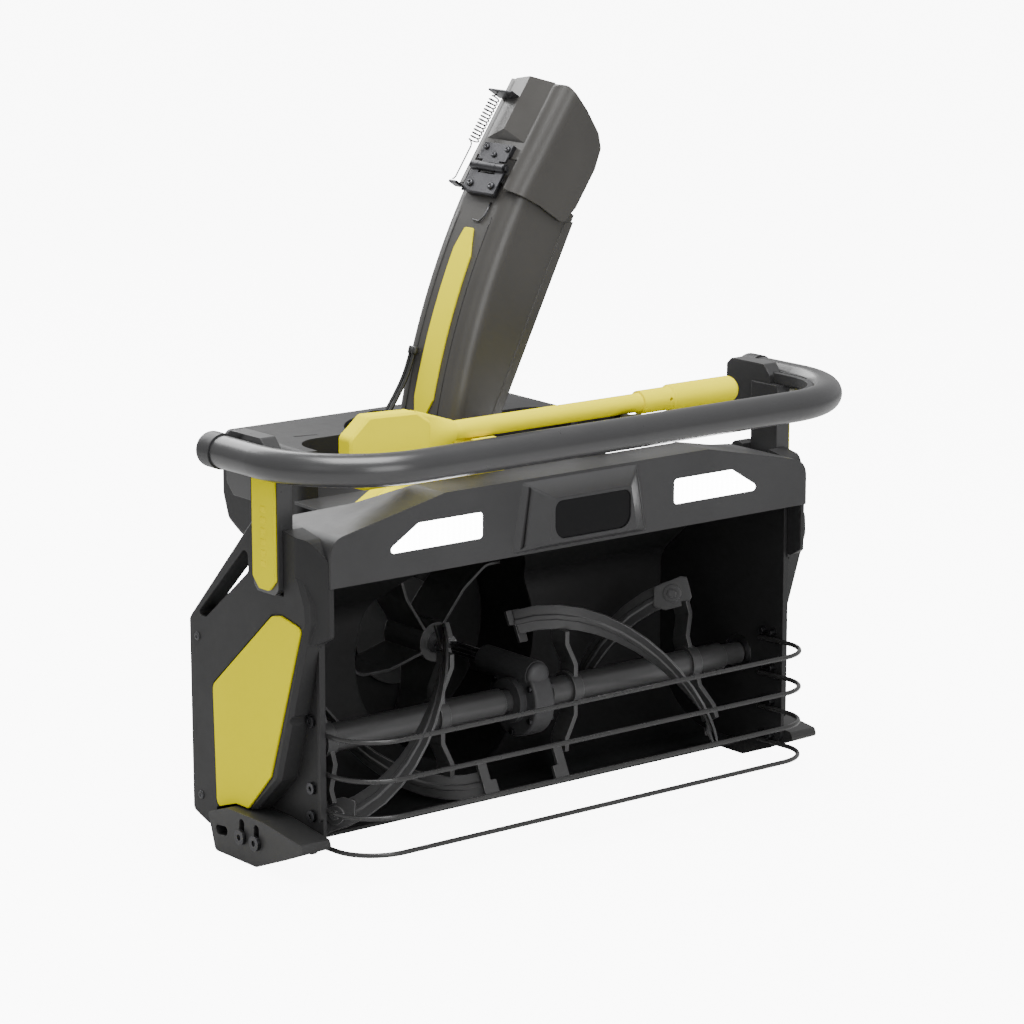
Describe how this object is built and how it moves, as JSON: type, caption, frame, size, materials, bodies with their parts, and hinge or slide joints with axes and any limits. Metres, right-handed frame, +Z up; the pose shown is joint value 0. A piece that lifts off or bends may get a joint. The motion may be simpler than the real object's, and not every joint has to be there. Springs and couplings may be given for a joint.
{
  "type": "two-stage snow blower head",
  "caption": "Two-stage snow blower attachment with auger, impeller, turning discharge chute, tilting deflector, tube bumper, guard wires and a stowed clean-out tool.",
  "frame": {"origin": "centre of the overall footprint, on the ground under the skid shoes", "axes": "+Z up, +Y to the rear (towards the host vehicle), +X to the right of a person who faces the mouth"},
  "size_m": [0.7484, 0.449, 0.7513],
  "materials": {
    "black_powder_coat": "semi-matt black powder coat on folded steel sheet",
    "charcoal_housing": "fine-textured charcoal coat on folded covers",
    "bumper_coat": "satin charcoal coat on the tube",
    "black_plastic": "moulded, fine texture",
    "yellow_panel": "lemon-yellow satin coat",
    "yellow_plastic": "moulded yellow plastic",
    "lamp_diffuser": "opal white lamp diffuser",
    "sensor_glass": "smoked sensor window",
    "chute_coat": "satin charcoal moulding",
    "black_nylon": "glass-filled nylon",
    "auger_steel": "dark e-coat on cut and bent steel",
    "guard_wire_steel": "dark coated wire",
    "skid_plastic": "hard wearing polymer",
    "dark_fasteners": "black zinc",
    "spring_steel": "blackened spring wire",
    "cast_housing": "die casting, dark coat",
    "bronze": "machined bronze",
    "ground_steel": "ground",
    "bearing_steel": "zinc plated",
    "cable_rubber": "black sheath"
  },
  "bodies": {
    "housing": {"auger_barrel": "black_powder_coat", "auger_bearings": "bearing_steel", "bumper_blocks": "bumper_coat", "bumper_end_caps": "black_plastic", "bumper_post_left": "bumper_coat", "bumper_post_right": "bumper_coat", "bumper_rail": "black_plastic", "bumper_tube": "bumper_coat", "chute_motor": "cast_housing", "deck_plate": "charcoal_housing", "discharge_duct": "black_powder_coat", "drive_motor": "cast_housing", "gearbox_bolts": "dark_fasteners", "gearbox_case": "cast_housing", "guard_wire_bolts": "dark_fasteners", "guard_wires": "guard_wire_steel", "headlight_left": "lamp_diffuser", "headlight_right": "lamp_diffuser", "hitch_plate": "cast_housing", "hood_shell": "charcoal_housing", "housing_bolts": "dark_fasteners", "impeller_bearing": "bearing_steel", "impeller_drum": "black_powder_coat", "post_covers": "yellow_panel", "rear_cover": "charcoal_housing", "scraper_bar": "black_powder_coat", "sensor_window": "sensor_glass", "side_cover_left": "charcoal_housing", "side_cover_right": "charcoal_housing", "side_panel_left": "yellow_panel", "side_panel_right": "yellow_panel", "side_plate_left": "black_powder_coat", "side_plate_right": "black_powder_coat", "skid_bolts": "dark_fasteners", "tool_clip": "black_nylon", "tool_cradle": "yellow_plastic"},
    "auger": {"auger_shaft": "auger_steel", "flight_arms": "auger_steel", "flight_plates": "auger_steel", "auger_flight_right": "auger_steel", "auger_flight_left": "auger_steel", "worm_wheel": "bronze"},
    "impeller": {"impeller_rotor": "auger_steel", "worm_shaft": "ground_steel"},
    "chute": {"chute_ring_gear": "black_nylon", "chute_collar": "chute_coat", "chute_tube": "chute_coat", "chute_stripe": "yellow_panel", "hinge_leaf_lower": "dark_fasteners", "hinge_pin": "dark_fasteners", "chute_cables": "cable_rubber"},
    "deflector": {"deflector_shell": "chute_coat", "hinge_leaf_upper": "dark_fasteners", "spring_bracket": "dark_fasteners", "deflector_spring": "spring_steel"},
    "pinion": {"chute_pinion": "black_nylon"},
    "skid_left": {"skid_shoe_left": "skid_plastic"},
    "skid_right": {"skid_shoe_right": "skid_plastic"},
    "tool": {"clean_out_tool": "yellow_plastic"}
  },
  "joints": [
    {"name": "auger_spin", "type": "hinge", "parent": "housing", "child": "auger", "pos_m": [0, -0.059, 0.117], "axis": [1, 0, 0], "continuous": true},
    {"name": "impeller_spin", "type": "hinge", "parent": "housing", "child": "impeller", "pos_m": [0, 0.119, 0.147], "axis": [0, 1, 0], "continuous": true},
    {"name": "chute_swivel", "type": "hinge", "parent": "housing", "child": "chute", "pos_m": [0, 0.101, 0.338], "axis": [0, 0, 1], "range_deg": [-190, 10]},
    {"name": "pinion_spin", "type": "hinge", "parent": "housing", "child": "pinion", "pos_m": [0, 0.187, 0.338], "axis": [0, 0, 1], "range_deg": [-75, 1335]},
    {"name": "deflector_tilt", "type": "hinge", "parent": "chute", "child": "deflector", "pos_m": [0.08121, 0.101, 0.6578], "axis": [0, 1, 0], "range_deg": [0, 50], "deforming": ["deflector_spring"]},
    {"name": "skid_left_adjust", "type": "slide", "parent": "housing", "child": "skid_left", "axis": [0, 0, 1], "range_m": [-0.014, 0]},
    {"name": "skid_right_adjust", "type": "slide", "parent": "housing", "child": "skid_right", "axis": [0, 0, 1], "range_m": [-0.014, 0]},
    {"name": "tool_lift", "type": "slide", "parent": "housing", "child": "tool", "axis": [0, 0, 1], "range_m": [0, 0.12]}
  ],
  "couplings": [
    {"joint": "impeller_spin", "follows": "auger_spin", "ratio": 10},
    {"joint": "pinion_spin", "follows": "chute_swivel", "ratio": -7}
  ]
}
